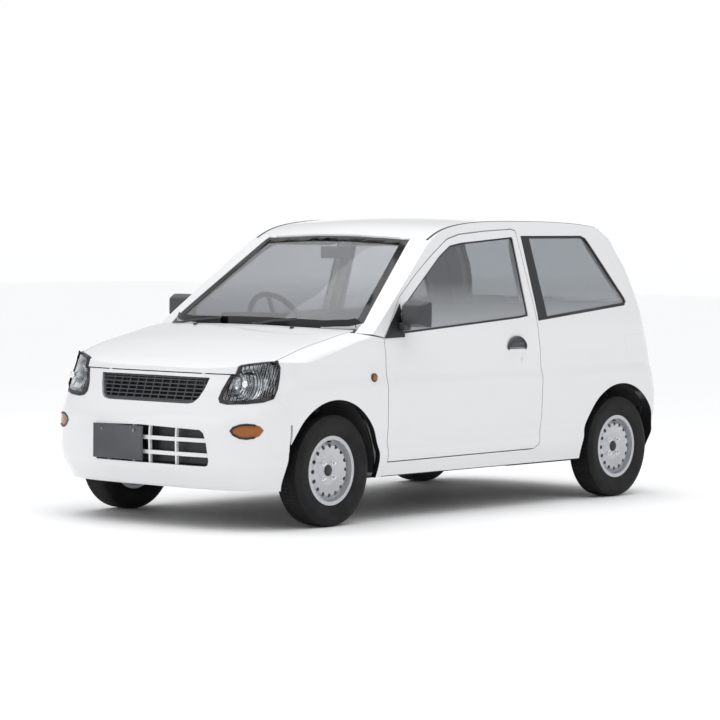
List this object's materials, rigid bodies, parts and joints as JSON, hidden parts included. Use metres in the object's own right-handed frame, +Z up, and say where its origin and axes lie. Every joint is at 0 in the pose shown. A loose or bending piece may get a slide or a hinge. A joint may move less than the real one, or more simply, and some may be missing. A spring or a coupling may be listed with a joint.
{
  "type": "kei car",
  "caption": "Small upright three-door hatchback car with side doors, tailgate, bonnet, steered front wheels and a hollow cabin, on steel wheels.",
  "frame": {"origin": "on the ground, under the middle of the overall length and width", "axes": "+Z up, +Y towards the tail along the car, +X towards the car's left side"},
  "size_m": [1.718, 3.3911, 1.4799],
  "materials": {
    "white_paint": "gloss white paint",
    "dark_plastic": "grained dark grey plastic",
    "floor_steel": "dark underseal",
    "glass": "tinted glass",
    "lamp_glass": "clear lens",
    "amber_lens": "amber lens",
    "red_lens": "red lens",
    "reflector": "bright metallised bowl",
    "trim_fabric": "woven seat cloth",
    "cabin_plastic": "grained cabin plastic",
    "tyre": "black rubber",
    "wheel_steel": "silver painted steel",
    "black_steel": "black chassis paint",
    "engine_metal": "cast alloy",
    "exhaust_steel": "bare steel"
  },
  "bodies": {
    "car_body": {"body_side_left": "white_paint", "body_side_right": "white_paint", "cowl": "dark_plastic", "dashboard": "cabin_plastic", "engine_block": "engine_metal", "exhaust": "exhaust_steel", "floor_pan": "floor_steel", "front_bumper": "white_paint", "front_fender_left": "white_paint", "front_fender_right": "white_paint", "front_grille": "dark_plastic", "front_suspension": "black_steel", "fuel_lid": "white_paint", "fuel_tank": "black_steel", "headlamps": "lamp_glass", "indicators": "amber_lens", "intake_bars": "white_paint", "lamp_bowls": "reflector", "quarter_windows": "glass", "radiator": "black_steel", "rear_axle": "black_steel", "rear_bench": "trim_fabric", "rear_bumper": "white_paint", "roof_panel": "white_paint", "seat_left": "trim_fabric", "seat_right": "trim_fabric", "steering_column": "cabin_plastic", "tail_lamps": "red_lens", "windscreen": "glass"},
    "door_left": {"door_left": "white_paint", "door_glass_left": "glass", "mirror_left": "dark_plastic", "door_handle_left": "dark_plastic"},
    "door_right": {"door_right": "white_paint", "door_glass_right": "glass", "mirror_right": "dark_plastic", "door_handle_right": "dark_plastic"},
    "tailgate": {"tailgate": "white_paint", "tailgate_glass": "glass"},
    "bonnet": {"bonnet": "white_paint"},
    "steering_wheel": {"steering_wheel": "cabin_plastic"},
    "knuckle_left": {"knuckle_left": "black_steel"},
    "knuckle_right": {"knuckle_right": "black_steel"},
    "wheel_front_left": {"wheel_front_left": "wheel_steel", "tyre_front_left": "tyre"},
    "wheel_front_right": {"wheel_front_right": "wheel_steel", "tyre_front_right": "tyre"},
    "wheel_rear_left": {"wheel_rear_left": "wheel_steel", "tyre_rear_left": "tyre"},
    "wheel_rear_right": {"wheel_rear_right": "wheel_steel", "tyre_rear_right": "tyre"}
  },
  "joints": [
    {"name": "door_left_swing", "type": "hinge", "parent": "car_body", "child": "door_left", "pos_m": [0.73, -0.76, 0.6], "axis": [0, 0, -1], "range_deg": [0, 65]},
    {"name": "door_right_swing", "type": "hinge", "parent": "car_body", "child": "door_right", "pos_m": [-0.73, -0.76, 0.6], "axis": [0, 0, 1], "range_deg": [0, 65]},
    {"name": "tailgate_lift", "type": "hinge", "parent": "car_body", "child": "tailgate", "pos_m": [0, 1.283, 1.444], "axis": [1, 0, 0], "range_deg": [0, 80]},
    {"name": "bonnet_lift", "type": "hinge", "parent": "car_body", "child": "bonnet", "pos_m": [0, -0.942, 0.93], "axis": [-1, 0, 0], "range_deg": [0, 50]},
    {"name": "steer_left", "type": "hinge", "parent": "car_body", "child": "knuckle_left", "pos_m": [0.545, -1.117, 0.268], "axis": [0, 0, 1], "range_deg": [-34, 34]},
    {"name": "steer_right", "type": "hinge", "parent": "car_body", "child": "knuckle_right", "pos_m": [-0.545, -1.117, 0.268], "axis": [0, 0, 1], "range_deg": [-34, 34]},
    {"name": "steering_wheel_turn", "type": "hinge", "parent": "car_body", "child": "steering_wheel", "pos_m": [-0.325, -0.35647, 0.9176], "axis": [0, 0.9063, 0.4226], "range_deg": [-510, 510]},
    {"name": "wheel_front_left_spin", "type": "hinge", "parent": "knuckle_left", "child": "wheel_front_left", "pos_m": [0.6475, -1.117, 0.268], "axis": [1, 0, 0], "continuous": true},
    {"name": "wheel_front_right_spin", "type": "hinge", "parent": "knuckle_right", "child": "wheel_front_right", "pos_m": [-0.6475, -1.117, 0.268], "axis": [1, 0, 0], "continuous": true},
    {"name": "wheel_rear_left_spin", "type": "hinge", "parent": "car_body", "child": "wheel_rear_left", "pos_m": [0.645, 1.223, 0.268], "axis": [1, 0, 0], "continuous": true},
    {"name": "wheel_rear_right_spin", "type": "hinge", "parent": "car_body", "child": "wheel_rear_right", "pos_m": [-0.645, 1.223, 0.268], "axis": [1, 0, 0], "continuous": true}
  ],
  "couplings": [
    {"joint": "steer_right", "follows": "steer_left", "ratio": 1},
    {"joint": "steering_wheel_turn", "follows": "steer_left", "ratio": 15}
  ]
}
